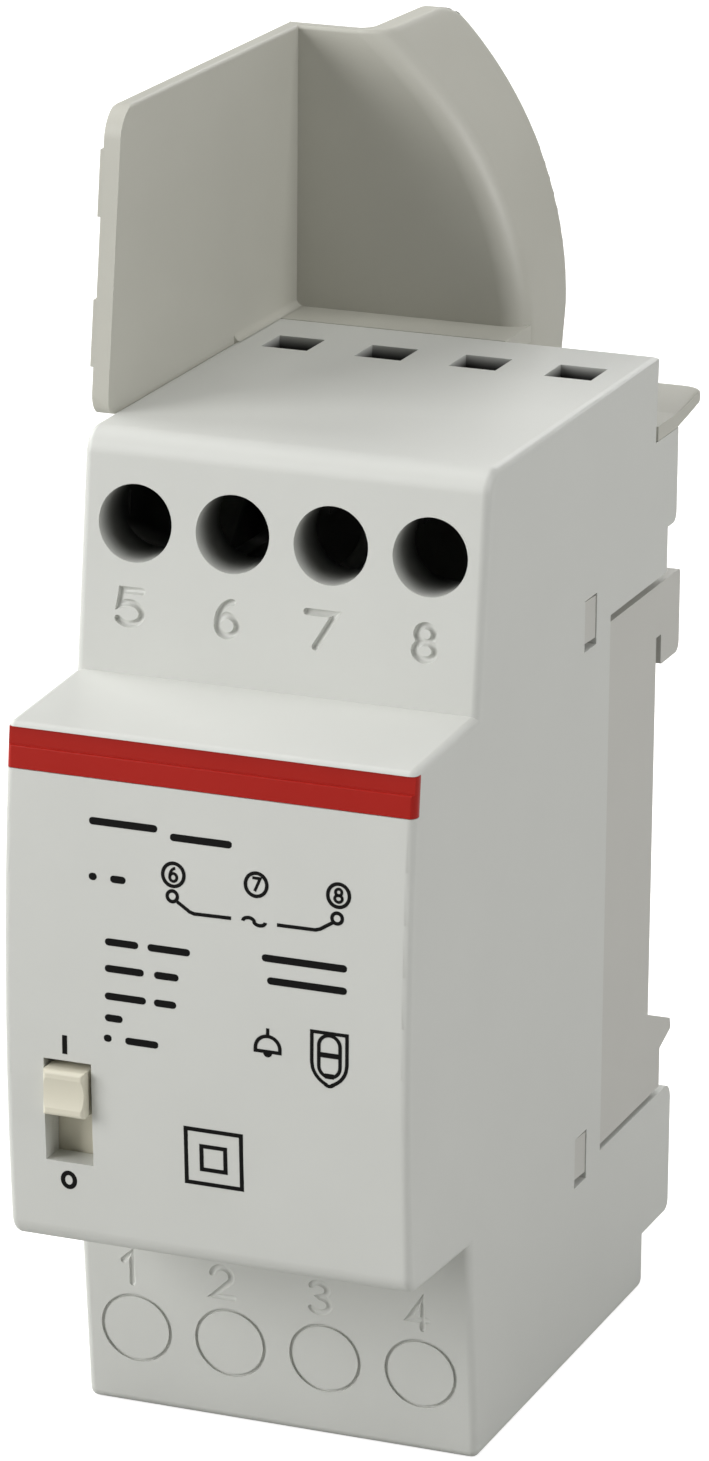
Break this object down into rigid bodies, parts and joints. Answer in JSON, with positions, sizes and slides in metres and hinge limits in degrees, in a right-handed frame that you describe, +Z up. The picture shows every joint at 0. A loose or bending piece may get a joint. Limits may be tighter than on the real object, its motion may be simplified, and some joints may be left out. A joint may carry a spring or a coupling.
{
  "type": "doorbell transformer",
  "caption": "Rail-mounted bell transformer in a stepped grey case with screw wells, a red band, a slide switch and a moulded wire shield over its top.",
  "frame": {"origin": "middle of the rail seat, on the plane where the rail touches the base", "axes": "+X to the right seen from the front, +Y to the back into the rail, +Z up"},
  "size_m": [0.0379, 0.0739, 0.1124],
  "materials": {
    "housing_grey": "fine moulded matt",
    "base_grey": "fine moulded matt",
    "shield_grey": "fine moulded matt",
    "band_red": "polished",
    "button_cream": "moulded satin",
    "switch_black": "moulded",
    "contact_brass": "stamped",
    "latch_grey": "moulded satin",
    "spring_steel": "bright strip",
    "core_steel": "varnished laminations",
    "bobbin_white": "moulded",
    "winding_copper": "enamelled wire",
    "cutout_can": "drawn",
    "screw_zinc": "zinc plated",
    "clamp_zinc": "zinc plated",
    "lead_brown": "extruded",
    "lead_black": "extruded",
    "lead_blue": "extruded",
    "lead_white": "extruded"
  },
  "bodies": {
    "housing": {"front_cover": "housing_grey", "rear_base": "base_grey", "wire_shield": "shield_grey", "red_band": "band_red", "switch_body": "switch_black", "switch_contact_line": "contact_brass", "switch_contact_load": "contact_brass", "latch_spring": "spring_steel", "core_e_stack": "core_steel", "core_i_stack": "core_steel", "bobbin": "bobbin_white", "primary_winding": "winding_copper", "secondary_winding": "winding_copper", "thermal_cutout": "cutout_can", "terminal_screws_upper": "screw_zinc", "terminal_screws_lower": "screw_zinc", "lead_line": "lead_brown", "lead_switched": "lead_black", "lead_neutral": "lead_blue", "lead_secondary_a": "lead_white", "lead_secondary_b": "lead_white", "terminal_clamp_1": "clamp_zinc", "terminal_clamp_2": "clamp_zinc", "terminal_clamp_3": "clamp_zinc", "terminal_clamp_4": "clamp_zinc", "terminal_clamp_5": "clamp_zinc", "terminal_clamp_6": "clamp_zinc", "terminal_clamp_7": "clamp_zinc", "terminal_clamp_8": "clamp_zinc"},
    "button": {"switch_button": "button_cream", "switch_bridge": "contact_brass"},
    "latch": {"rail_latch": "latch_grey"}
  },
  "joints": [
    {"name": "switch_slide", "type": "slide", "parent": "housing", "child": "button", "axis": [0, 0, -1], "range_m": [0, 0.0043]},
    {"name": "latch_slide", "type": "slide", "parent": "housing", "child": "latch", "axis": [0, 0, -1], "range_m": [0, 0.003], "stiffness_N_per_m": 1500, "springref_m": -0.002, "deforming": ["latch_spring"]}
  ]
}
